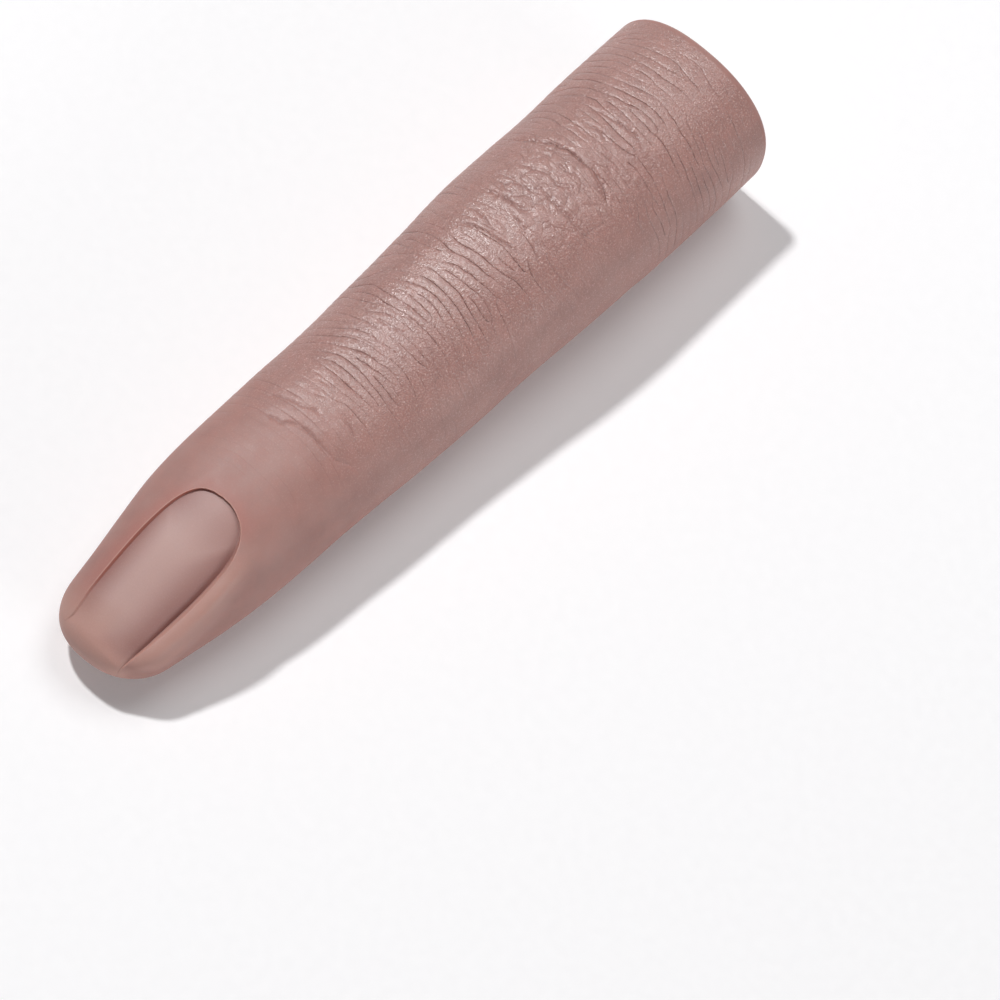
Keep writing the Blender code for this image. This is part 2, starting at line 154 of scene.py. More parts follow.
# %% [markdown]
# ## The skin's stations
# The silicone skin is one smooth tapering form: a blunt fingertip, a waist between the
# knuckles and a full base. It could be sculpted, but a table of cross-sections keeps it the
# size of the solids: each station gives the left and right half width, the top and the
# underside, and a smooth curve runs through them. All tables are in millimetres, with x
# counted from the fingertip.

# %% Stations and the smooth curve through them
finger_length = 90.0
nose_length = 5.0
nose_power = 2.5
section_power = 2.25
tip_skew = 0.07
tip_skew_reach = 6.0
stations = np.array([
    (0.0, 5.6, 5.1, 7.3, 1.7),
    (2.0, 6.0, 5.5, 7.8, 0.9),
    (4.5, 6.5, 6.1, 9.0, 0.0),
    (8.0, 7.0, 6.8, 10.6, -0.35),
    (12.0, 7.65, 7.6, 12.2, -0.45),
    (17.0, 8.4, 8.3, 13.6, -0.35),
    (22.0, 8.7, 8.65, 14.3, -0.15),
    (27.0, 8.75, 8.8, 14.6, 0.1),
    (31.8, 8.75, 9.05, 15.0, 0.3),
    (38.0, 8.75, 9.35, 15.1, 0.0),
    (46.0, 9.0, 9.6, 16.0, -0.3),
    (54.0, 9.35, 9.8, 17.2, -0.2),
    (61.0, 9.7, 10.2, 18.1, 0.1),
    (66.5, 9.65, 10.35, 18.4, 0.35),
    (73.0, 9.75, 10.45, 18.1, 0.0),
    (80.0, 10.0, 10.4, 18.1, -0.35),
    (90.0, 10.1, 10.2, 18.1, -0.35)])


def smooth_table(x, places, values):
    slopes = np.gradient(values, places)
    x = np.clip(x, places[0], places[-1])
    i = np.clip(np.searchsorted(places, x) - 1, 0, len(places) - 2)
    step = places[i + 1] - places[i]
    s = (x - places[i]) / step
    return ((2 * s ** 3 - 3 * s ** 2 + 1) * values[i] + (s ** 3 - 2 * s ** 2 + s) * step * slopes[i]
            + (3 * s ** 2 - 2 * s ** 3) * values[i + 1] + (s ** 3 - s ** 2) * step * slopes[i + 1])


def bare_skin(x, turn, inset=0.0):
    """The skin before its creases: x from the tip, turn round the finger with 90 degrees on top."""
    left, right_half, top, under = (smooth_table(x, stations[:, 0], stations[:, c]) for c in (1, 2, 3, 4))
    rounding = (1 - np.clip(1 - x / nose_length, 0, 1) ** nose_power) ** (1 / nose_power)
    c, s = np.cos(turn), np.sin(turn)
    reach = (np.abs(c) ** section_power + np.abs(s) ** section_power) ** (-1 / section_power)
    y = (np.where(c > 0, left, right_half) * rounding - inset) * c * reach
    z = (top + under) / 2 + ((top - under) / 2 * rounding - inset) * s * reach
    lean = tip_skew * y * np.exp(-(x / tip_skew_reach) ** 2)
    return np.stack([x - finger_length / 2 - lean, y, z], -1)


print("top of the middle joint:", bare_skin(np.array([66.5]), np.array([math.pi / 2]))[0].round(2))

# %% [markdown]
# ## One flat map for the whole skin
# A tube of faces would pinch at the blunt tip, just under the nail bed. So the skin is laid
# out on a flat map, as an orange peel is: the distance from the map's centre is the way
# walked from the tip of the nose along the finger, and the angle is the turn round it. The
# nail bed then is an ordinary closed outline on the map, and directions across the surface
# can be worked out anywhere, also over the nose.

# %% The flat map
steep_steps = np.linspace(0, 1, 400) ** 2.5 * 0.5
walk_x = np.concatenate([steep_steps[:-1], np.linspace(0.5, finger_length, 1800)])
walk_radius = bare_skin(walk_x, np.full(walk_x.shape, math.pi / 2))
walk_side = bare_skin(walk_x, np.full(walk_x.shape, 0.0))
radius = (walk_radius[:, 2] - (stations[0, 3] + stations[0, 4]) / 2 + walk_side[:, 1]) / 2
nose_radius = np.where(walk_x < nose_length, radius, radius[np.searchsorted(walk_x, nose_length)])
walked = np.concatenate([[0], np.cumsum(np.hypot(np.diff(walk_x), np.diff(nose_radius)))])


def from_map(across, upward):
    """x and turn for a point of the flat map."""
    return np.interp(np.hypot(across, upward), walked, walk_x), np.arctan2(upward, across)


def to_map(x, turn):
    way = np.interp(x, walk_x, walked)
    return way * np.cos(turn), way * np.sin(turn)


def skin_on_map(across, upward):
    return bare_skin(*from_map(across, upward))


def skin_normal(across, upward, step=0.03):
    first = skin_on_map(across + step, upward) - skin_on_map(across - step, upward)
    second = skin_on_map(across, upward + step) - skin_on_map(across, upward - step)
    normal = np.cross(second, first)
    return normal / np.maximum(np.linalg.norm(normal, axis=-1, keepdims=True), 1e-12)


print("way from the nose's middle to the cut end:", round(float(walked[-1]), 1), "mm")

# %% [markdown]
# ## Noise that comes out the same every time
# Skin is never even. Repeatable noise gives it the small differences: each corner of a grid
# gets a fixed random number, and the values between are blended smoothly. It reads places
# in space, so that it has no seam where the map closes round the finger.

# %% Repeatable noise
def corner_value(ix, iy, iz, seed):
    n = (ix * 374761393 + iy * 668265263 + iz * 2147483647 + seed * 1442695041) & 0xFFFFFFFF
    n = ((n ^ (n >> 13)) * 1274126177) & 0xFFFFFFFF
    n = ((n ^ (n >> 16)) * 2246822519) & 0xFFFFFFFF
    return ((n ^ (n >> 15)) & 0xFFFFFF) / 0xFFFFFF * 2 - 1


def noise(x, y, z, seed):
    whole = [np.floor(v).astype(np.int64) for v in (x, y, z)]
    part = [v - w for v, w in zip((x, y, z), whole)]
    ease = [p * p * p * (p * (p * 6 - 15) + 10) for p in part]
    total = 0.0
    for corner in range(8):
        bits = (corner & 1, corner >> 1 & 1, corner >> 2 & 1)
        weight = 1.0
        for bit, e in zip(bits, ease):
            weight = weight * (e if bit else 1 - e)
        corner_place = [w + b for w, b in zip(whole, bits)]
        total = total + weight * corner_value(*corner_place, seed)
    return total


def noise_at(p, size, seed):
    """Noise at the places p, with lumps of one size in millimetres."""
    return noise(p[..., 0] / size, p[..., 1] / size, p[..., 2] / size, seed)


def rough_noise(p, size, seed):
    """Noise with two finer and weaker layers on it."""
    return sum(noise_at(p, size / 2 ** i, seed + i) / 2 ** i for i in range(3))


def cells(x, y, z, seed):
    """Distances to the nearest and the second nearest of scattered points."""
    near = np.full(x.shape, 9.0)
    second = near.copy()
    bx, by, bz = (np.floor(v).astype(np.int64) for v in (x, y, z))
    for dx in (-1, 0, 1):
        for dy in (-1, 0, 1):
            for dz in (-1, 0, 1):
                ix, iy, iz = bx + dx, by + dy, bz + dz
                px = ix + 0.5 + 0.45 * corner_value(ix, iy, iz, seed)
                py = iy + 0.5 + 0.45 * corner_value(ix, iy, iz, seed + 7)
                pz = iz + 0.5 + 0.45 * corner_value(ix, iy, iz, seed + 13)
                d = np.sqrt((px - x) ** 2 + (py - y) ** 2 + (pz - z) ** 2)
                second = np.minimum(second, np.maximum(near, d))
                near = np.minimum(near, d)
    return near, second


def rise(low, high, x):
    s = np.clip((x - low) / (high - low), 0, 1)
    return s * s * (3 - 2 * s)


sample = noise(np.linspace(0, 40, 2000), np.zeros(2000), np.zeros(2000), 3)
print("noise runs from", round(float(sample.min()), 2), "to", round(float(sample.max()), 2))

# %% [markdown]
# ## Creases, lines and pebbles
# Over each knuckle the skin folds into curved creases, and between them it shows fine lines
# a millimetre apart, which run across the finger, fork and join. Carving each line by hand
# would take days. So the named creases of the knuckles are paths in a table, and the fine
# lines come from one smooth measure of the way along the finger: a line is where it passes
# a whole number. Adding a whole turn round a pair of points puts one more line between
# them, which gives the forks.

# %% Paths of the knuckle creases
# Each crease: depth and half width in millimetres, then its path as (x from the tip, way
# round from the ridge on top, towards the finger's right).
knuckle_creases = (
    (0.17, 0.22, ((67.8, -7.3), (68.7, -5.6), (69.3, -4.2), (69.9, -3.1), (70.2, -1.9), (70.3, -0.8),
                  (70.2, 0.5), (70.4, 1.3), (70.1, 2.3), (69.5, 3.4), (68.8, 4.3), (68.2, 5.0))),
    (0.12, 0.17, ((75.7, -3.3), (76.2, -1.8), (76.5, 0.0), (76.6, 1.6), (76.0, 2.8))),
    (0.14, 0.20, ((60.8, -4.8), (61.2, -3.9), (61.4, -2.8), (61.6, -1.6), (61.6, -0.6), (62.1, 0.5))),
    (0.11, 0.18, ((64.9, -0.5), (64.5, 0.1), (64.6, 0.7), (64.6, 1.5), (64.5, 2.5), (64.5, 3.4),
                  (64.4, 4.4), (64.3, 5.5), (64.2, 6.4))),
    (0.14, 0.20, ((65.6, -4.5), (65.9, -3.1), (66.1, -2.2), (66.5, -1.2), (66.5, -0.2), (66.3, 0.3),
                  (66.7, 0.9), (67.3, 1.2))),
    (0.14, 0.18, ((67.8, -3.9), (68.1, -3.2), (68.3, -2.4), (68.0, -1.8))),
    (0.11, 0.16, ((68.0, -1.3), (68.5, -0.9), (68.2, -0.2), (68.3, 0.4))),
    (0.11, 0.16, ((63.6, -4.9), (63.5, -4.1), (63.7, -3.4), (63.8, -2.3), (63.9, -1.1), (64.2, -0.2))),
    (0.10, 0.15, ((66.7, 1.7), (66.1, 2.5))),
    (0.10, 0.15, ((67.6, 2.8), (67.0, 3.6))),
    (0.12, 0.16, ((71.0, 0.5), (71.1, 1.2), (71.7, 2.0), (71.5, 2.8), (71.4, 3.4))),
    (0.14, 0.16, ((73.3, -3.2), (73.1, -2.4), (72.8, -1.3))),
    (0.12, 0.16, ((74.0, -2.6), (74.3, -1.3), (74.3, -0.6), (74.0, 0.1), (74.1, 1.1))),
    (0.13, 0.16, ((72.5, 0.3), (72.6, 1.3), (72.6, 2.2), (72.4, 2.9))),
    (0.12, 0.16, ((58.6, -4.3), (58.5, -2.9), (58.0, -0.7))),
    (0.12, 0.16, ((56.5, -4.3), (56.9, -2.9), (57.4, -1.2), (57.5, 0.2), (57.8, 1.5), (58.1, 2.7))),
    (0.13, 0.18, ((60.9, -1.1), (60.4, 0.3), (60.0, 1.4), (59.9, 2.2))),
    (0.08, 0.15, ((29.4, -5.8), (30.1, -4.2), (30.6, -2.7), (30.9, -1.3), (31.4, 0.0), (31.5, 1.3))),
    (0.09, 0.15, ((27.9, -4.1), (27.9, -2.6), (28.2, -1.5), (28.9, -0.6), (29.2, 0.9), (29.1, 2.3),
                  (29.2, 3.6), (29.2, 5.0))),
    (0.07, 0.15, ((34.1, -2.5), (34.3, -1.6), (34.5, -0.7))),
    (0.07, 0.16, ((35.5, -1.4), (35.8, -0.1), (35.8, 1.3), (35.6, 2.8))),
    (0.10, 0.16, ((32.8, 1.6), (32.7, 3.5), (32.3, 4.7), (32.1, 5.6))),
    (0.07, 0.16, ((32.5, -1.8), (32.9, -0.9), (33.2, 0.0))),
    (0.09, 0.15, ((29.1, 4.3), (29.4, 5.2), (30.1, 6.3), (30.6, 7.3))),
    (0.045, 0.15, ((39.7, -4.8), (40.2, -3.6), (40.7, -2.2), (40.9, -0.8), (40.8, 0.4), (40.4, 1.3))),
    (0.03, 0.15, ((39.2, -1.6), (39.5, -0.2), (39.8, 1.0), (39.8, 1.8))),
    (0.045, 0.15, ((43.2, -4.2), (43.2, -2.4), (43.4, -0.4), (43.7, 0.9), (43.4, 2.2), (43.3, 3.6),
                  (43.3, 5.1))),
    (0.03, 0.15, ((42.5, 0.5), (42.3, 2.0), (42.0, 3.8), (41.6, 5.4), (41.5, 7.0))),
    (0.04, 0.15, ((44.5, -5.0), (44.8, -3.1), (45.1, -1.2), (45.3, 0.6), (45.0, 2.0), (45.0, 3.3))),
    (0.03, 0.15, ((45.9, -2.4), (46.2, -1.1), (46.3, 0.4), (46.4, 1.5))),
    (0.04, 0.15, ((47.7, -3.9), (47.9, -2.1), (48.5, -0.6), (48.8, 0.8), (48.9, 2.0))))
palm_creases = (
    (0.30, 0.42, ((32.0, -19.0), (31.4, -23.5), (31.8, -28.3), (31.3, -33.0), (31.9, -37.5))),
    (0.18, 0.32, ((29.9, -21.0), (29.6, -25.5), (30.1, -30.0), (29.7, -34.0))),
    (0.34, 0.45, ((66.9, -18.5), (66.2, -23.0), (66.8, -28.3), (66.1, -33.5), (66.9, -38.0))),
    (0.30, 0.40, ((69.6, -20.5), (69.9, -25.0), (69.2, -30.0), (69.8, -35.5))))
print(len(knuckle_creases), "creases on top,", len(palm_creases), "under the joints")

# %% [markdown]
# The relief is a height added along the skin's normal. Its parts are the creases of the
# table with a low lip on each side, the fine lines with their forks, rounded pebbles over
# both knuckles with grooves between those of the middle one, and soft unevenness. Strength
# tables fade each part along and round the finger, because the skin by the nail and at the
# cut rim is smooth.

# %% The relief
round_radius = 9.0
seam_x = 49.0
line_step = 1.15
# Each table: x from the tip in millimetres, and the value there.
bow_along = ((34, 0.020), (50, 0.020), (57, -0.004), (62, -0.004), (68, 0.020), (90, 0.016))
fine_along = ((19, 0), (26, 0.25), (31, 0.45), (36, 0.8), (40, 1.0), (58, 1.0), (62, 0.42), (69, 0.42),
              (73, 1.0), (84, 1.0), (87, 0.7), (88.6, 0))
pebbles_along = ((26, 0), (29, 0.30), (35, 0.30), (38, 0), (56, 0), (60, 0.8), (64, 1), (70, 1),
                 (76, 0.45), (82, 0.2), (86, 0))
grain_and_glints_along = ((0, 0.10), (19, 0.06), (27, 0.15), (34, 0.7), (40, 1.0))


def from_ridge(turn):
    """Way round from the ridge on top in millimetres, positive to the finger's right."""
    return np.angle(np.exp(1j * (turn - math.pi / 2))) * round_radius


def strength(x, pairs):
    places, values = zip(*pairs)
    return np.interp(x, places, values)


def line_measure(x, p):
    """Passes a whole number at each fine line, before the forks."""
    bow = strength(x, bow_along) * np.clip(p[..., 1], -8, 8) ** 2
    warp = 0.34 * noise(p[..., 0] / 7.5, p[..., 1] / 8.5, p[..., 2] / 8.5, 11)
    warp = warp + 0.10 * noise(p[..., 0] / 2.3, p[..., 1] / 2.6, p[..., 2] / 2.6, 12)
    warp = warp + 0.045 * noise_at(p, 0.9, 13)
    return (x + bow) / line_step + warp


fork_table = []
for i, along in enumerate(np.arange(35.0, 88.0, 4.4)):
    for j, beside in enumerate(np.arange(-11.0, 12.0, 5.4)):
        shift = corner_value(np.full(4, i), np.full(4, j), np.arange(4), 91).tolist()
        fork_x = along + 1.6 * shift[0]
        fork_side = beside + 2.4 * shift[1]
        sign = 1 if shift[3] > -0.3 else -1
        for _ in range(12):
            spot = bare_skin(np.array([fork_x]), np.array([math.pi / 2 + fork_side / round_radius]))
            count = float(line_measure(np.array([fork_x]), spot)[0]) + (0.5 if sign > 0 else 0.0)
            fork_x -= (count - round(count)) * line_step * 0.7
        fork_table.append((fork_x, fork_side, 2.6 + 1.3 * shift[2], sign))


def forks(x, around):
    """A whole turn round both ends of each entry puts in or takes out one line between them."""
    total = np.zeros(np.broadcast(x, around).shape)
    for fork_x, fork_side, reach, sign in fork_table:
        first_turn = np.arctan2(x - fork_x, around - fork_side + reach)
        second_turn = np.arctan2(x - fork_x, around - fork_side - reach)
        total = total + sign * (first_turn - second_turn) / (2 * math.pi)
    return total


def crease_distance(x, around, path):
    """Distance to the path, negative on one side of it, and distance to its nearer end."""
    nearest = np.full(x.shape, 99.0)
    for (x0, a0), (x1, a1) in zip(path[:-1], path[1:]):
        dx, da = x1 - x0, a1 - a0
        s = np.clip(((x - x0) * dx + (around - a0) * da) / (dx * dx + da * da), 0, 1)
        distance = np.hypot(x - x0 - s * dx, around - a0 - s * da)
        side = np.where((x - x0) * da - (around - a0) * dx > 0, 1.0, -1.0)
        nearest = np.where(distance < np.abs(nearest), distance * side, nearest)
    to_ends = [np.hypot(x - end_x, around - end_around) for end_x, end_around in (path[0], path[-1])]
    return nearest, np.minimum(*to_ends)


def relief(x, turn, p):
    """Height along the normal, and the marks that the finish reads: creases and fine lines."""
    around = from_ridge(turn)
    under = rise(13.0, 17.0, np.abs(around))
    right_flank = rise(4.0, 8.5, around) * (1 - rise(14.0, 18.0, around))
    fine = strength(x, fine_along)
    fine = fine * (1 - 0.7 * right_flank * (1 - rise(66.0, 74.0, x))) * (1 - 0.65 * under)
    phase = 2 * math.pi * (line_measure(x, p) + forks(x, around))
    line_held = fine * (0.30 + 0.70 * rise(-0.5, 0.35, noise(x / 1.3, p[..., 1] / 4.5, p[..., 2] / 4.5, 31)))
    line_held = line_held * (0.65 + 0.35 * rise(-0.5, 0.1, noise_at(p, 0.8, 32)))
    away = np.abs(np.angle(np.exp(1j * phase))) / (2 * math.pi) * line_step
    height = 0.018 * fine * (away / (0.5 * line_step)) ** 0.5
    height = height - 0.025 * line_held * np.exp(-(away / 0.14) ** 2)
    pebble_share = strength(x, pebbles_along) * (1 - rise(3.5, 7.5, np.abs(around - 0.3)))
    wobble = 0.45 * noise_at(p, 1.1, 52)
    near, second = cells((x + wobble) / 1.9, (p[..., 1] - wobble) / 1.8, p[..., 2] / 1.8, 51)
    height = height + 0.125 * pebble_share * (np.clip((second - near) * 1.6, 0, 1) ** 0.8 - 0.5)
    height = height + 0.045 * rough_noise(p, 6.5, 61) * rise(16, 26, x) * (1 - rise(86, 89, x))
    wander = 0.12 * noise_at(p, 1.3, 71) + 0.07 * noise_at(p, 0.55, 72)
    broken = 0.35 + 0.65 * rise(-0.45, 0.15, noise_at(p, 0.9, 73))
    groove_away = (second - near) * 1.05
    groove_share = pebble_share * rise(59.5, 62.5, x) * (1 - rise(69.0, 73.0, x))
    crease_side = np.where(groove_share > 0.02, groove_away, 9.0)
    crease_held = 0.55 * groove_share * broken * np.exp(-(groove_away / 0.4) ** 2)
    whole_round = 2 * math.pi * round_radius
    for depth, half_width, path in knuckle_creases + palm_creases:
        on_top = path[0][1] > -15
        shifted = around if on_top else np.where(around > 0, around - whole_round, around)
        distance, ends = crease_distance(x + wander, shifted, path)
        taper = 0.30 + 0.70 * rise(0, 1.6, ends)
        valley = np.exp(-np.abs(distance / (0.7 * half_width)) ** 1.2) * taper
        lip = np.exp(-((np.abs(distance) - 2.4 * half_width) / (1.5 * half_width)) ** 2) * taper
        hollow_share = rise(0.10, 0.18, depth) + 4.5 * rise(38.0, 36.0, path[0][0]) * on_top
        hollow = np.exp(-(distance / 0.85) ** 2) * taper * hollow_share
        height = height + depth * (0.22 * lip - valley - 0.30 * hollow)
        crease_side = np.where(np.abs(distance) < np.abs(crease_side), distance, crease_side)
        held = np.exp(-(distance / 0.4) ** 2) * rise(0, 1.2, ends) * broken * min(1.0, (depth / 0.20) ** 1.5)
        crease_held = np.maximum(crease_held, held)
    # Where the grain shows, most on the top: it sets the bump and gloss, and the glints and shade painted
    # into the colour.
    grain = strength(x, grain_and_glints_along) * (1 - 0.55 * under) * (1 - 0.45 * rise(5.0, 9.0, np.abs(around)))
    marks = {"line_across": np.sin(phase), "line_along": np.cos(phase), "line_held": line_held,
             "crease_side": np.clip(crease_side, -1, 1), "crease_held": crease_held, "grain": grain}
    return height, marks


ridge_point = bare_skin(np.array([seam_x]), np.array([math.pi / 2]))
seam_number = float(np.round(line_measure(np.array([seam_x]), ridge_point))[0])
print("the skin's two lengths meet in fine line number", int(seam_number))

# %% [markdown]
# ## The nail bed's outline
# The bed is a long open channel: its sides and its rounded back are cut into the skin, and
# its front has no wall, because the bed rolls over the fingertip's edge. A Boolean cut would
# leave ragged faces at the lip. Instead the outline is drawn on the flat map as a closed
# loop, and rows of vertices follow it, so that the lip can be crisp. The loop starts at the
# back of the bed, runs down its left side, round under the nose and back up its right side.

# %% The outline on the map
# Each point: x from the tip, and the turn round the finger in degrees.
left_outline = (
    (18.30, 90.0), (18.10, 82.0), (17.45, 73.5), (16.0, 67.0), (14.2, 63.0), (12.3, 60.3), (10.3, 58.2),
    (8.0, 56.6), (6.0, 55.8), (4.3, 55.3), (2.9, 53.5), (1.9, 48.5),
    (1.4, 39.0), (1.15, 25.0), (1.05, 8.0), (1.05, -15.0), (1.10, -40.0), (1.15, -65.0), (1.2, -90.0))
right_outline = (
    (18.30, 90.0), (18.25, 97.0), (17.9, 105.5), (17.2, 114.0), (16.1, 120.7), (14.8, 125.2),
    (13.5, 128.0), (11.9, 130.3), (10.1, 132.5), (8.4, 134.0), (7.0, 134.7), (5.6, 135.0),
    (4.1, 135.5), (2.7, 138.0), (1.6, 145.0), (0.95, 158.0), (0.75, 175.0),
    (0.8, 197.0), (0.95, 222.0), (1.1, 247.0), (1.2, 270.0))


def smooth_path(points, count):
    """Points at even steps along a smooth curve through the given ones."""
    points = np.asarray(points, float)
    way = np.concatenate([[0], np.cumsum(np.hypot(*np.diff(points, axis=0).T))])
    fine = np.linspace(0, way[-1], 4000)
    curve = np.stack([smooth_table(fine, way, points[:, 0]), smooth_table(fine, way, points[:, 1])], -1)
    length = np.concatenate([[0], np.cumsum(np.hypot(*np.diff(curve, axis=0).T))])
    even = np.linspace(0, length[-1], count)
    return np.stack([np.interp(even, length, curve[:, 0]), np.interp(even, length, curve[:, 1])], -1)


columns = 280
half = columns // 2
halves = []
for side in (left_outline, right_outline):
    table = np.array(side)
    across, upward = to_map(table[:, 0], np.radians(table[:, 1]))
    halves.append(smooth_path(np.stack([across, upward], -1), half + 1))
edge = np.concatenate([halves[0], halves[1][::-1][1:]])
tangent = np.gradient(np.concatenate([edge[-3:-1], edge, edge[1:3]]), axis=0)[2:-2]
outward = np.stack([-tangent[:, 1], tangent[:, 0]], -1)
outward /= np.linalg.norm(outward, axis=1, keepdims=True)
if (outward[0] * np.array([0, 1])).sum() < 0:
    outward = -outward
edge_x, edge_turn = from_map(edge[:, 0], edge[:, 1])
print("outline on the map:", edge.min(axis=0).round(1), "to", edge.max(axis=0).round(1), "mm")

# %% Depth of the bed below the lip, all round the outline
column_share = np.linspace(0, 1, columns + 1)
on_left = column_share < 0.5
right_depths = ((0.7, 0.0), (1.1, 0.14), (1.7, 0.32), (2.8, 0.52), (4.5, 0.76), (7.0, 0.95),
                (11.0, 1.0), (18.4, 1.0))
left_depths = ((0.8, 0.0), (1.2, 0.08), (1.7, 0.26), (2.9, 0.50), (6.0, 0.75), (11.0, 0.95),
               (15.0, 1.0), (18.4, 1.0))


def bed_depth(x, turn):
    """Depth of the bed below the skin: an even sink, deeper to the finger's right."""
    around = from_ridge(turn)
    to_right = np.clip(around + 1.0, 0, 8.4) / 7.8
    to_left = np.clip(-around, 0, 6) / 5.2
    rightward = rise(-4.0, 4.0, around)
    front = strength(x, right_depths) * rightward + strength(x, left_depths) * (1 - rightward)
    return front * (0.30 + 0.50 * to_right ** 2.4 + 0.10 * to_left ** 3)


front_fade = np.where(on_left, rise(0.48, 0.74, np.sin(edge_turn)), rise(-0.55, 0.25, np.sin(edge_turn)))
edge_depth = bed_depth(edge_x, edge_turn) * front_fade
rightness = np.where(on_left, 0.0, 1.0) * rise(0.0, 0.06, 1 - column_share)
backness = rise(15.5, 17.8, edge_x)
right_side = rightness * (1 - rise(12.0, 17.0, edge_x))
undercut = 0.14 * backness - 0.05 * rightness * (1 - backness) - 0.10 * (1 - rightness) * (1 - backness)
undercut = np.minimum(undercut, 0.45 * edge_depth)
lip_radius = np.minimum(0.07 + 0.05 * rightness * (1 - backness), 0.35 * edge_depth)
fold_size = (0.10 + 0.56 * right_side) * rise(0.05, 0.6, edge_depth)
peak = 0.40 + 0.50 * backness + 0.90 * right_side
lip_height = (0.85 - 0.80 * right_side) * fold_size
nudge = 0.05
real_step = skin_on_map(*(edge + nudge * outward).T) - skin_on_map(*(edge - nudge * outward).T)
real_per_map = np.linalg.norm(real_step, axis=1) / (2 * nudge)
print("bed depth up to", edge_depth.max().round(2), "mm")
print("a map millimetre is", real_per_map.min().round(2), "to", real_per_map.max().round(2), "real ones")

# %% [markdown]
# ## The front skin
# One grid primitive carries all of it. Its columns start on a line down the middle of the
# bed and cross the outline squarely, and its rows are rings: first the bed, then the foot,
# wall and lip of the opening, then the fingertip, and last even rings along the finger to
# the middle of the second length. The operators add and close the grid; the places come
# from the map and the relief.

# %% A grid primitive as rows and columns
def ring_grid(name, rows):
    bpy.ops.object.select_all(action="DESELECT")
    bpy.ops.mesh.primitive_grid_add(x_subdivisions=columns, y_subdivisions=rows, size=2.0)
    piece = bpy.context.object
    piece.name = piece.data.name = name
    flat = np.empty(len(piece.data.vertices) * 3)
    piece.data.vertices.foreach_get("co", flat)
    flat = flat.reshape(-1, 3)
    column = np.rint((flat[:, 0] + 1) / 2 * columns).astype(int)
    row = np.rint((flat[:, 1] + 1) / 2 * rows).astype(int)
    return piece, row, column


merge_distance = 0.0000006
smooth_angle = math.radians(62)


def close_rings(piece, places, marks):
    """Moves the grid's vertices to their places, keeps the marks, merges seam and poles."""
    mesh = piece.data
    mesh.vertices.foreach_set("co", (places * mm).ravel())
    for name, values in marks.items():
        mesh.attributes.new(name, "FLOAT", "POINT").data.foreach_set("value", values.astype(np.float32))
    select_only(piece)
    bpy.ops.object.mode_set(mode="EDIT")
    bpy.ops.mesh.select_all(action="SELECT")
    bpy.ops.mesh.remove_doubles(threshold=merge_distance)
    bpy.ops.mesh.normals_make_consistent(inside=False)
    bpy.ops.object.mode_set(mode="OBJECT")
    bpy.ops.object.shade_smooth_by_angle(angle=smooth_angle)
    shape = bmesh.new()
    shape.from_mesh(mesh)
    open_edges = sum(1 for e in shape.edges if not e.is_manifold)
    volume = shape.calc_volume(signed=True)
    shape.free()
    mesh.calc_loop_triangles()
    print(piece.name, "triangles", len(mesh.loop_triangles), "open edges", open_edges)
    print("its volume is", round(volume * 1e6, 2), "ml")


# %% Rings of the bed, the lip and the fingertip on the map
bed_rows, cap_rows, tube_rows = 30, 104, 182
cap_end_x = 26.0
spine_back, spine_front = np.array([0.0, 17.0]), np.array([0.3, 0.6])
spine_share = np.clip((1 - np.abs(1 - 2 * column_share) - 0.10) / 0.78, 0, 1)[:, None]
spine = spine_back + (spine_front - spine_back) * spine_share


def wall_ring(way, height):
    """A ring at a real distance outside the outline, and its height along the normal."""
    return edge + outward * (way / real_per_map)[:, None], height


foot_width = 0.12 * edge_depth
bed_end = wall_ring(undercut - foot_width, None)[0]
map_rings, heights = [], []
for i in range(bed_rows):
    share = 1 - (1 - i / bed_rows) ** 1.2
    map_rings.append(spine + (bed_end - spine) * share)
    heights.append(share)
profile = [wall_ring(undercut - foot_width * (1 - s), -edge_depth * (1 - 0.10 * s ** 2))
           for s in (0.0, 0.5, 1.0)]
lip_end = math.pi / 2 + np.arctan(2 * (fold_size - lip_height) / peak)
wall_top = lip_height - lip_radius * np.sin(lip_end)
profile += [wall_ring(undercut * (1 - s), -edge_depth * 0.9 * (1 - s) + wall_top * s)
            for s in (0.2, 0.4, 0.6, 0.8)]
lip_turns = [math.pi - (math.pi - lip_end) * s for s in (0.0, 0.22, 0.44, 0.64, 0.80, 0.91, 1.0)]
profile += [wall_ring(lip_radius * (1 + np.cos(a)), wall_top + lip_radius * np.sin(a)) for a in lip_turns]
for ring, height in profile:
    map_rings.append(ring)
    heights.append(height)
circle_turn = math.pi / 2 - (2 * math.pi * column_share - 0.4 * np.sin(2 * math.pi * column_share))
way_out = np.interp(cap_end_x, walk_x, walked)
circle = way_out * np.stack([np.cos(circle_turn), np.sin(circle_turn)], -1)
start = profile[-1][0]
span = np.linalg.norm(circle - start, axis=1)[:, None]
first_pull = start + outward * span * 0.3
second_pull = circle * (1 - 0.3 * span / way_out)
for i in range(1, cap_rows + 1):
    s = 0.5 * i / cap_rows + 0.5 * (i / cap_rows) ** 2
    near_part = (1 - s) ** 3 * start + 3 * (1 - s) ** 2 * s * first_pull
    map_rings.append(near_part + 3 * (1 - s) * s ** 2 * second_pull + s ** 3 * circle)
    heights.append(np.zeros(columns + 1))
map_rings = np.array(map_rings)
print("rings up to the end of the fingertip:", len(map_rings))

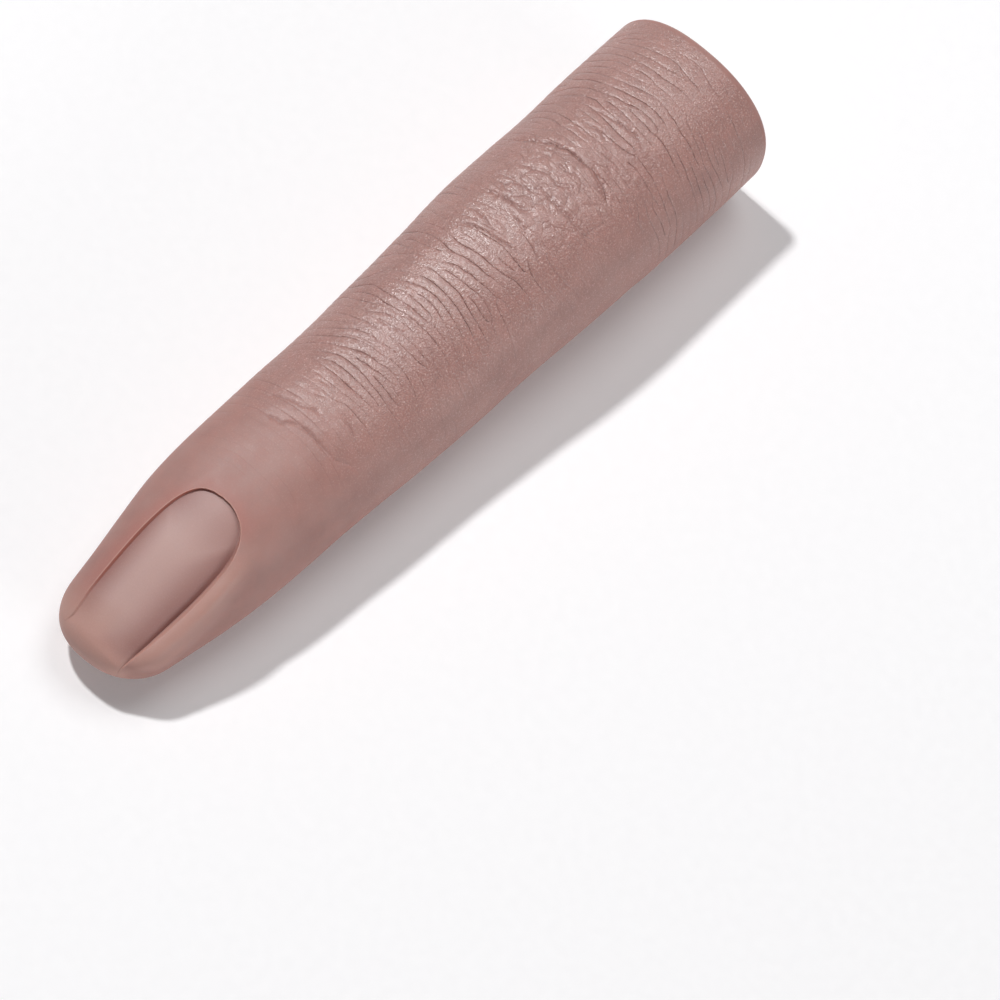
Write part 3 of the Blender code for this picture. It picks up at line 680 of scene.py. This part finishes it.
# %% Heights on those rings
ring_x, ring_turns = from_map(map_rings[..., 0], map_rings[..., 1])
base = bare_skin(ring_x, ring_turns)
normal = skin_normal(map_rings[..., 0], map_rings[..., 1])
lip_row = bed_rows + 7
steps = np.linalg.norm(np.diff(base[lip_row:], axis=0), axis=-1)
out_way = np.zeros(ring_x.shape)
out_way[lip_row + 1:] = np.cumsum(steps, axis=0)
lines, line_marks = relief(ring_x, ring_turns, base)
ring_bed = bed_depth(ring_x, ring_turns)
ring_around = from_ridge(ring_turns)
# Painted shade on the bed: darker towards its right, its left edge and its back, where it turns from the
# light and the folds shade it.
side_shade = 0.85 * rise(0.0, 6.6, ring_around) ** 1.3 + 0.70 * rise(1.2, 5.2, -ring_around)
back_shade = (0.38 + 0.42 * rise(-0.5, 3.0, -ring_around)) * rise(11.5, 16.5, ring_x)
bed_shade = np.maximum(side_shade * rise(0.8, 3.0, ring_x) * (1 - backness), back_shade)
spread = 1.25 + 1.2 * backness + 0.95 * right_side
first_drop = 1 - lip_height / np.maximum(fold_size, 0.001)
before_peak = 1 - first_drop * np.clip(1 - out_way / peak, 0, 1) ** 2
after_peak = np.exp(-((out_way - peak) / spread) ** 2)
risen = np.where(out_way < peak, before_peak, after_peak)
groove = 0.060 * np.exp(-((out_way - 1.35) / 0.28) ** 2) * (1 - rightness) * (1 - backness)
groove = groove * rise(0.3, 0.9, edge_depth)
height = lines * rise(1.2, 3.4, out_way) + fold_size * risen * (out_way > 0) - groove
marks = {name: np.zeros(ring_x.shape) for name in ("bed", "shade", "flush", "wall", "lip")}
for name, values in line_marks.items():
    marks[name] = values * rise(1.2, 3.4, out_way) if name.endswith("held") else values
flush_side = 0.05 + 0.95 * np.maximum(backness, 1 - rightness)
has_wall = rise(0.1, 0.4, edge_depth)
# Painted highlight: the lip's edge on the left and the broad fold on the right are paled as if lit.
lip_highlight = np.exp(-(out_way / 0.10) ** 2) * (1 - right_side)
fold_highlight = 0.95 * np.exp(-(out_way / 2.8) ** 2) * right_side
marks["lip"] = (lip_highlight + fold_highlight) * (out_way > 0) * has_wall
marks["flush"] = np.exp(-(out_way / 1.7) ** 2) * flush_side * rise(0.05, 0.4, edge_depth)
for i in range(lip_row + 7):
    if i < bed_rows:
        height[i] = -ring_bed[i] * (1 - heights[i] ** 3 * (1 - front_fade))
        marks["bed"][i] = rise(0.3, 3.5, ring_x[i])
        marks["shade"][i] = bed_shade[i]
        marks["flush"][i] = 0.3 * (1 - rise(0.5, 5.0, ring_x[i]))
    else:
        height[i] = heights[i]
        climbed = (edge_depth + heights[i]) / np.maximum(edge_depth + lip_height, 0.0001)
        marks["bed"][i] = (1 - rise(0.02, 0.25, climbed)) * rise(0.3, 3.5, ring_x[i])
        marks["shade"][i] = bed_shade[i] * (1 - rise(0.02, 0.20, climbed))
        # The painted highlight runs up the top of the lip and the right fold.
        lip_highlight = rise(0.86, 0.97, climbed) * (1 - right_side)
        fold_highlight = 0.95 * rise(0.05, 0.25, climbed) * right_side
        marks["lip"][i] = (lip_highlight + fold_highlight) * has_wall
        # The wall is terracotta, darkened as painted shade in the groove, and fainter on the right.
        on_wall = rise(0.0, 0.2, climbed) * (1 - rise(0.80, 0.97, climbed))
        marks["wall"][i] = on_wall * has_wall * (1 - 0.8 * rightness * (1 - backness))
tip_pale = (1 - rise(1.5, 5.5, ring_x)) * (1 - 0.8 * rise(-1.0, 2.5, ring_around) * rise(0.8, 1.8, ring_x))
marks["lip"] = np.maximum(marks["lip"], tip_pale)
tip_places = base + normal * height[..., None]
print("height from", height.min().round(2), "to", height.max().round(2), "mm")

# %% Even rings along the finger to the seam
def seam_place(turn):
    x = np.full(turn.shape, seam_x)
    for _ in range(30):
        x = x - (line_measure(x, bare_skin(x, turn)) - seam_number) * line_step * 0.6
    return x


def tube_rings(x, turn):
    base = bare_skin(x, turn)
    height, line_marks = relief(x, turn, base)
    return base + skin_normal(*to_map(x, turn)) * height[..., None], line_marks


def end_disk(ring, steps):
    """Rings that close a tube's open end inside the finger."""
    middle = ring.mean(axis=0)
    return np.array([middle + (ring - middle) * share + np.array([inward, 0, 0]) for share, inward in steps])


ring_turn = circle_turn
seam_line = seam_place(ring_turn)
share = np.arange(1, tube_rows + 1)[:, None] / tube_rows
every_turn = np.broadcast_to(ring_turn, (tube_rows, columns + 1))
tube_places, tube_marks = tube_rings(cap_end_x + (seam_line - cap_end_x) * share, every_turn)
inner_end = end_disk(tube_places[-1], ((0.80, -0.35), (0.4, -0.6), (0.0, -0.7)))
places = np.concatenate([tip_places, tube_places, inner_end])
places[..., 2] = np.maximum(places[..., 2], 0.0)
front, row, column = ring_grid("front_skin", len(places) - 1)
full_marks = {}
for name, values in marks.items():
    rest = np.zeros((tube_rows + 3, columns + 1))
    if name in tube_marks:
        rest[:tube_rows] = tube_marks[name]
    full_marks[name] = np.concatenate([values, rest])[row, column]
close_rings(front, places[row, column], full_marks)

# %% [markdown]
# ## The rear skin
# The second grid carries on from the same ring of vertices in the same fine line, so the
# join looks like one more line. It runs over the middle knuckle to the cut end, where the
# rim is rounded, the cut face is flat, and a pocket holds the plug.

# %% Rings of the rear skin
rim_radius, plug_wall, pocket_depth = 1.2, 3.05, 3.0
rear_tube_rows, rim_rows = 292, 10
share = np.arange(rear_tube_rows + 1)[:, None] / rear_tube_rows
every_turn = np.broadcast_to(ring_turn, (rear_tube_rows + 1, columns + 1))
tube_places, tube_marks = tube_rings(seam_line + (finger_length - rim_radius - seam_line) * share, every_turn)
cut = np.full(ring_turn.shape, finger_length)
rim_turns = math.pi / 2 * np.arange(1, rim_rows + 1) / rim_rows
rim = [bare_skin(cut - rim_radius * (1 - math.sin(a)), ring_turn, rim_radius * (1 - math.cos(a)))
       for a in rim_turns]
face = [bare_skin(cut, ring_turn, inset) for inset in (1.5, 1.9, 2.4, 2.9, plug_wall - 0.04)]
pocket = [bare_skin(cut, ring_turn, plug_wall) - np.array([pocket_depth * s, 0, 0])
          for s in (0.01, 0.35, 0.7, 1.0)]
pocket_floor = end_disk(pocket[-1], ((0.7, 0), (0.35, 0), (0.0, 0)))
inner_end = end_disk(tube_places[0], ((0.0, 0.5), (0.4, 0.4), (0.80, 0.2)))
places = np.concatenate([inner_end, tube_places, rim, face, pocket, pocket_floor])
places[..., 2] = np.maximum(places[..., 2], 0.0)
rear, row, column = ring_grid("rear_skin", len(places) - 1)
full_marks = {name: np.zeros(places.shape[:2]) for name in marks}
for name, values in tube_marks.items():
    full_marks[name][3:3 + rear_tube_rows + 1] = values
close_rings(rear, places[row, column], {name: values[row, column] for name, values in full_marks.items()})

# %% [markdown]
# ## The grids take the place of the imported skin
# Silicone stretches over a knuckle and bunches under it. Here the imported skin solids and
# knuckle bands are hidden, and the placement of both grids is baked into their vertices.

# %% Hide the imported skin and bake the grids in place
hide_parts("fingertip_skin", "end_knuckle_band", "middle_skin")
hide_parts("middle_knuckle_band", "base_skin")
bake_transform(front)
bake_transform(rear)

# %% [markdown]
# ## Finish of the skin: pigmented platinum silicone
# The finger is cast in soft platinum silicone, coloured through and powdered matt. A flat
# pink would look like plastic, so the colour drifts between two close tones over some
# millimetres, turns redder round the nail and paler on the bed and at the tip. Painted shade
# darkens the bed's sides and back, the terracotta wall of the opening, the creases and the
# fine lines, and a painted highlight pales the lip and the fold on the right. Light enters
# the silicone a little, and a grain about a sixth of a millimetre wide breaks the sheen into
# fine glints, helped by pale flecks painted in as glints and dark ones as their shade.

# %% Silicone
silicone, tree = new_finish("skin_silicone")
here = add(tree, "ShaderNodeTexCoord").outputs["Object"]
marked = {}
for name in ("bed", "shade", "flush", "wall", "lip", "grain", "line_across", "line_along",
             "line_held", "crease_side", "crease_held"):
    marked[name] = add(tree, "ShaderNodeAttribute", attribute_name=name).outputs["Fac"]
# A noise scale counts lumps per metre: 170 drifts over 6 mm, and 640 makes spots of 1.6 mm.
drift = add(tree, "ShaderNodeTexNoise", {"Scale": 170.0, "Detail": 3.0, "Roughness": 0.55}, {"Vector": here})
mottle = add(tree, "ShaderNodeTexNoise", {"Scale": 640.0, "Detail": 2.0}, {"Vector": here})
tone = ramp(tree, drift.outputs["Fac"], ((0.32, "946961"), (0.68, "a0776f")))
spots = ramp(tree, mottle.outputs["Fac"], ((0.40, 0.0), (0.72, 0.40)))
tone = mix_colours(tree, spots, tone, "a8776e")
tone = mix_colours(tree, times(marked["flush"], 0.50), tone, "a8655a")
tone = mix_colours(tree, marked["bed"], tone, "b9958e")
# Painted shade on the bed's sides and back.
tone = mix_colours(tree, marked["shade"], tone, "84514a")
# Terracotta on the wall of the opening, darkened as painted shade.
tone = mix_colours(tree, times(marked["wall"], 0.80), tone, "a35340")
# Painted highlight on the lip and the right fold, with a paler tip in the same tone.
tone = mix_colours(tree, times(marked["lip"], 0.60), tone, "c69a8e")
# Painted shade in a band round each crease and groove.
tone = mix_colours(tree, times(marked["crease_held"], 0.16), tone, "8a5a52")

# %% The finest lines, drawn by the finish
# The mesh is too coarse for a line a tenth of a millimetre wide. It carries the smooth line
# measure as the sine and cosine of a turn, and the signed distance to the nearest crease.
# The finish works out from them how far the nearest line is, as sharp as needed. It
# paints shade into the colour along each line and crease, and bumps their valleys.
def unsigned(source):
    return add(source.id_data, "ShaderNodeMath", links={0: source}, operation="ABSOLUTE").outputs[0]


def held_ramp(source, stops, mark):
    """A ramp's value, as strong as the mark says."""
    return between(ramp(source.id_data, source, stops), marked[mark], "MULTIPLY")


turn_away = between(marked["line_across"], marked["line_along"], "ARCTAN2")
line_away = times(unsigned(turn_away), line_step / (2 * math.pi))
crease_away = unsigned(marked["crease_side"])
line_core = held_ramp(line_away, ((0.0, 1.0), (0.015, 0.8), (0.045, 0.0)), "line_held")
crease_core = held_ramp(crease_away, ((0.0, 1.0), (0.03, 0.8), (0.08, 0.0)), "crease_held")
line_valley = held_ramp(line_away, ((0.0, 1.0), (0.03, 0.62), (0.09, 0.22), (0.24, 0.0)), "line_held")
crease_valley = held_ramp(crease_away, ((0.0, 1.0), (0.05, 0.6), (0.14, 0.2), (0.30, 0.0)), "crease_held")
# Painted shade darkens the cores of the fine lines and creases.
painted_line_shade = between(times(line_core, 0.90), times(crease_core, 0.85), "MAXIMUM")
tone = mix_colours(tree, painted_line_shade, tone, "6f443d")
deepest = between(line_valley, crease_valley, "MAXIMUM")
line_height = add(tree, "ShaderNodeMath", {0: 1.0}, {1: deepest}, operation="SUBTRACT").outputs[0]

# %% Grain and gloss
# The grain is 0.17 mm wide and the pores lie about 0.4 mm apart. Real powder is finer, so
# both are drawn as coarse as they need to be to show.
flecks = add(tree, "ShaderNodeTexNoise", {"Scale": 6000.0, "Detail": 1.0, "Roughness": 0.6}, {"Vector": here})
# Pale flecks are painted glints of the grain, and dark flecks its painted shade.
painted_glint_fleck = held_ramp(flecks.outputs["Fac"], ((0.54, 0.0), (0.70, 0.42), (0.76, 0.80)), "grain")
painted_shade_fleck = held_ramp(flecks.outputs["Fac"], ((0.28, 0.42), (0.46, 0.0)), "grain")
tone = mix_colours(tree, painted_glint_fleck, tone, "d9b7b0")
tone = mix_colours(tree, painted_shade_fleck, tone, "7f574f")
pores = add(tree, "ShaderNodeTexVoronoi", {"Scale": 2600.0}, {"Vector": here})
dull = ramp(tree, mottle.outputs["Fac"], ((0.3, 0.58), (0.7, 0.64)))
sheen = ramp(tree, mottle.outputs["Fac"], ((0.3, 0.29), (0.7, 0.35)))
gloss = mix_colours(tree, marked["grain"], dull, sheen)
gloss = mix_colours(tree, marked["bed"], gloss, (0.53, 0.53, 0.53, 1.0))
oily = held_ramp(flecks.outputs["Fac"], ((0.58, 0.0), (0.68, 0.65)), "grain")
gloss = mix_colours(tree, oily, gloss, (0.15, 0.15, 0.15, 1.0))
line_bump = add(tree, "ShaderNodeBump", {"Distance": 0.00008, "Strength": 1.0}, {"Height": line_height})
fine_bump = add(tree, "ShaderNodeBump", {"Distance": 0.00006},
                {"Height": flecks.outputs["Fac"], "Strength": marked["grain"],
                 "Normal": line_bump.outputs["Normal"]})
pore_bump = add(tree, "ShaderNodeBump", {"Distance": 0.00003},
                {"Height": pores.outputs["Distance"], "Strength": marked["grain"],
                 "Normal": fine_bump.outputs["Normal"]})
skin_shader = add(tree, "ShaderNodeBsdfPrincipled",
                  {"Subsurface Weight": 0.15, "Subsurface Radius": (1.0, 0.4, 0.25),
                   "Subsurface Scale": 0.0010, "IOR": 1.42, "Specular IOR Level": 0.95},
                  {"Base Color": tone, "Roughness": gloss, "Normal": pore_bump.outputs["Normal"]})
add(tree, "ShaderNodeOutputMaterial", links={"Surface": skin_shader.outputs["BSDF"]})
for piece in (front, rear):
    piece.data.materials.clear()
    piece.data.materials.append(silicone)
print("skin finish has", len(tree.nodes), "nodes")

# %% [markdown]
# ## Finish of the bones and the plug: moulded nylon
# The bones and the plug are injection-moulded natural nylon. It is off-white and slightly
# see-through, with faint flow marks and the fine spark texture of the mould.

# %% Nylon
nylon, tree = new_finish("moulded_nylon")
here = add(tree, "ShaderNodeTexCoord").outputs["Object"]
# Flow marks about 4 mm long, and a spark texture of 0.19 mm, coarse enough to show.
flow = add(tree, "ShaderNodeTexNoise", {"Scale": 240.0, "Detail": 2.0, "Distortion": 0.8}, {"Vector": here})
spark = add(tree, "ShaderNodeTexNoise", {"Scale": 5200.0, "Detail": 2.0}, {"Vector": here})
cream = ramp(tree, flow.outputs["Fac"], ((0.3, "d3ccbb"), (0.7, "ddd6c7")))
dull = ramp(tree, spark.outputs["Fac"], ((0.3, 0.44), (0.7, 0.58)))
spark_bump = add(tree, "ShaderNodeBump", {"Distance": 0.00002, "Strength": 0.7},
                 {"Height": spark.outputs["Fac"]})
nylon_shader = add(tree, "ShaderNodeBsdfPrincipled",
                   {"Subsurface Weight": 0.1, "Subsurface Radius": (1.0, 0.9, 0.7),
                    "Subsurface Scale": 0.001, "IOR": 1.53},
                   {"Base Color": cream, "Roughness": dull, "Normal": spark_bump.outputs["Normal"]})
add(tree, "ShaderNodeOutputMaterial", links={"Surface": nylon_shader.outputs["BSDF"]})
print("nylon finish has", len(tree.nodes), "nodes")

# %% [markdown]
# ## Finish of the hinges and the screw: turned stainless steel
# Pins, caps, washers and the screw are turned from stainless bar. Turning leaves fine rings
# round the axis, so the bump is bands across the part, broken up by a little noise.

# %% Steel
steel, tree = new_finish("turned_steel")
here = add(tree, "ShaderNodeTexCoord").outputs["Object"]
# The shine drifts over 1.1 mm, and the turned rings are 0.08 mm apart.
wobble = add(tree, "ShaderNodeTexNoise", {"Scale": 900.0, "Detail": 2.0}, {"Vector": here})
rings = add(tree, "ShaderNodeTexWave", {"Scale": 3800.0, "Distortion": 1.5}, {"Vector": here},
            wave_type="RINGS", rings_direction="Y")
shine = ramp(tree, wobble.outputs["Fac"], ((0.3, 0.24), (0.7, 0.38)))
grey = ramp(tree, wobble.outputs["Fac"], ((0.3, "b6b8ba"), (0.7, "c4c6c8")))
ring_bump = add(tree, "ShaderNodeBump", {"Distance": 0.000006, "Strength": 0.6},
                {"Height": rings.outputs["Fac"]})
steel_shader = add(tree, "ShaderNodeBsdfPrincipled", {"Metallic": 1.0},
                   {"Base Color": grey, "Roughness": shine, "Normal": ring_bump.outputs["Normal"]})
add(tree, "ShaderNodeOutputMaterial", links={"Surface": steel_shader.outputs["BSDF"]})
slots = {part["node"]: part["material_slot"] for part in frame["record"]["subparts"]}
for name, solid in nodes.items():
    solid.data.materials.clear()
    solid.data.materials.append({"skin": silicone, "nylon": nylon, "steel": steel}[slots[name]])
print("finished solids:", len(slots))

# %% [markdown]
# ## Floor and light
# The picture has a white ground with one soft shadow. A key lamp stands high on the
# finger's left and casts it. A soft box high over the cut end's side puts the grainy sheen
# along the back, a low fill on the right keeps the flank open, and the world adds an even
# base. The floor is white card. Camera, mirror and glass rays see a little extra on it, so
# that it meets the white background without more light on the finger.

# %% Floor
def looked_at(tree):
    """One for camera, mirror and glass rays, which see the white, and nought for the rest."""
    rays = add(tree, "ShaderNodeLightPath")
    seen = between(rays.outputs["Is Camera Ray"], rays.outputs["Is Glossy Ray"], "MAXIMUM")
    return between(seen, rays.outputs["Is Transmission Ray"], "MAXIMUM")


bpy.ops.object.select_all(action="DESELECT")
bpy.ops.mesh.primitive_plane_add(size=4.0, location=(0, 0, 0))
floor = bpy.context.object
floor.name = "floor_card"
card, tree = new_finish("white_card")
here = add(tree, "ShaderNodeTexCoord").outputs["Object"]
# The card's surface has lumps of about 1.1 mm.
fibre = add(tree, "ShaderNodeTexNoise", {"Scale": 900.0, "Detail": 2.0}, {"Vector": here})
paper = ramp(tree, fibre.outputs["Fac"], ((0.3, "f6f6f7"), (0.7, "f9f9fa")))
matt = add(tree, "ShaderNodeBsdfDiffuse", links={"Color": paper})
seen = times(looked_at(tree), 0.100)
lift = add(tree, "ShaderNodeEmission", {"Color": linear("fffdff")}, {"Strength": seen})
both = add(tree, "ShaderNodeAddShader", links={0: matt.outputs[0], 1: lift.outputs[0]})
add(tree, "ShaderNodeOutputMaterial", links={"Surface": both.outputs[0]})
floor.data.materials.append(card)
print("floor is", round(floor.dimensions.x, 1), "m wide")

# %% Lamps and world
def lamp(name, direction, distance, size, light_on_white):
    """An area lamp that gives a white card facing it this brightness."""
    data = bpy.data.lights.new(name, "AREA")
    data.shape = "DISK"
    data.size = size
    data.energy = light_on_white * math.pi * math.pi * distance ** 2
    made = bpy.data.objects.new(name, data)
    bpy.context.scene.collection.objects.link(made)
    way = Vector(direction).normalized()
    made.matrix_world = Matrix.Translation(way * distance) @ way.to_track_quat("Z", "Y").to_matrix().to_4x4()


key_lean = math.radians(28)
fill_height = math.radians(9)
lamp("key_lamp", (0.05, math.sin(key_lean), math.cos(key_lean)), 1.0, 0.075, 0.65)
lamp("sheen_lamp", (0.43, 0.02, 0.87), 1.1, 0.60, 0.245)
lamp("fill_lamp", (-0.12, -math.cos(fill_height), math.sin(fill_height)), 1.2, 0.6, 0.40)
world = bpy.data.worlds.new("studio")
bpy.context.scene.world = world
world.use_nodes = True
tree = world.node_tree
tree.nodes.clear()
direct = looked_at(tree)
studio_light = add(tree, "ShaderNodeBackground", {"Color": linear("fffafc"), "Strength": 0.115})
studio_white = add(tree, "ShaderNodeBackground", {"Color": linear("ffffff"), "Strength": 1.0})
sight = add(tree, "ShaderNodeMixShader",
            links={0: direct, 1: studio_light.outputs[0], 2: studio_white.outputs[0]})
add(tree, "ShaderNodeOutputWorld", links={"Surface": sight.outputs[0]})
bpy.context.scene.view_settings.view_transform = "Standard"
